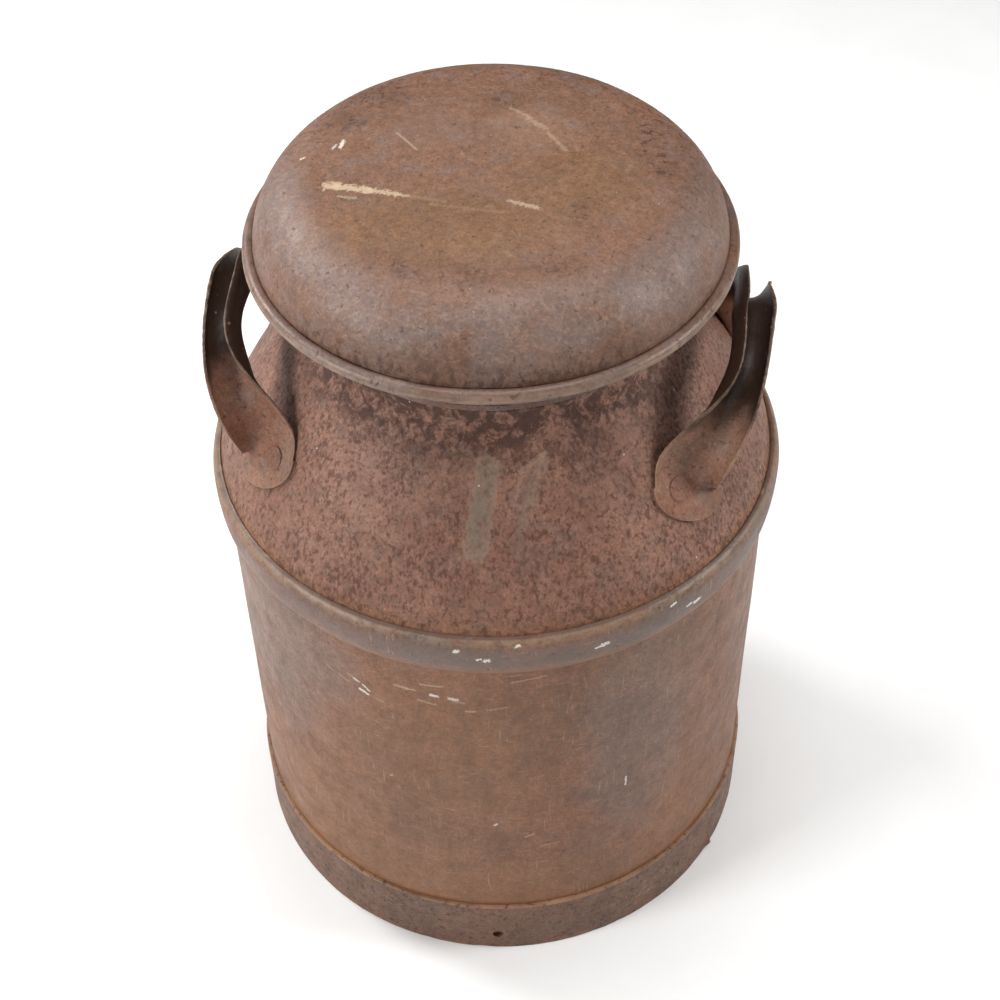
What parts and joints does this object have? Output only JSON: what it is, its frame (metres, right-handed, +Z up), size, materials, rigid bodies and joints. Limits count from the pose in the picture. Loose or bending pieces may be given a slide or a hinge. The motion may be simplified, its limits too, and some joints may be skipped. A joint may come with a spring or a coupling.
{
  "type": "milk can",
  "caption": "Wide-mouth dairy milk can of rolled sheet steel with banded shoulder and foot, two strap handles and a lift-off umbrella lid.",
  "frame": {"origin": "centre of the footprint, on the floor under the foot band", "axes": "+Z up along the can's axis, -Y the front, midway between the two handles, which stand toward +X and -X"},
  "size_m": [0.29, 0.29, 0.4368],
  "materials": {
    "body_sheet": "tinned sheet gone satin brown, with blue-grey and orange rust zones",
    "breast_sheet": "matt pinkish-brown rust with dense dark pits",
    "shoulder_hoop": "smooth grey-brown, worn lighter along its ridge",
    "foot_hoop": "dark grey-brown, worn light along its upper edge",
    "handle_strap": "dark rust brown, bright along its cut edges",
    "lid_sheet": "rust brown with beige scratches and a blue-grey sheen on the shoulder",
    "lid_inner_sheet": "dull brown, rim rubbed lighter",
    "solder": "dull grey-brown tin solder",
    "wire": "rusted steel wire",
    "rivet": "flat worn rivet heads"
  },
  "bodies": {
    "can": {"body_shell": "body_sheet", "side_seam_solder": "solder", "foot_band": "foot_hoop", "foot_band_solder": "solder", "bottom_pan": "body_sheet", "bottom_solder": "solder", "shoulder_band": "shoulder_hoop", "shoulder_band_solder": "solder", "breast": "breast_sheet", "neck": "breast_sheet", "neck_solder": "solder", "mouth_wire": "wire", "left_handle": "handle_strap", "left_front_rivet": "rivet", "left_front_foot_solder": "solder", "left_rear_rivet": "rivet", "left_rear_foot_solder": "solder", "right_handle": "handle_strap", "right_front_rivet": "rivet", "right_front_foot_solder": "solder", "right_rear_rivet": "rivet", "right_rear_foot_solder": "solder"},
    "lid": {"lid_dome": "lid_sheet", "lid_rim": "lid_inner_sheet", "lid_rim_wire": "wire", "lid_plug": "lid_inner_sheet", "lid_plug_bottom": "lid_inner_sheet", "lid_solder": "solder"}
  },
  "joints": [
    {"name": "lid_lift", "type": "slide", "parent": "can", "child": "lid", "axis": [0, 0, 1], "range_m": [0, 0.12]}
  ]
}
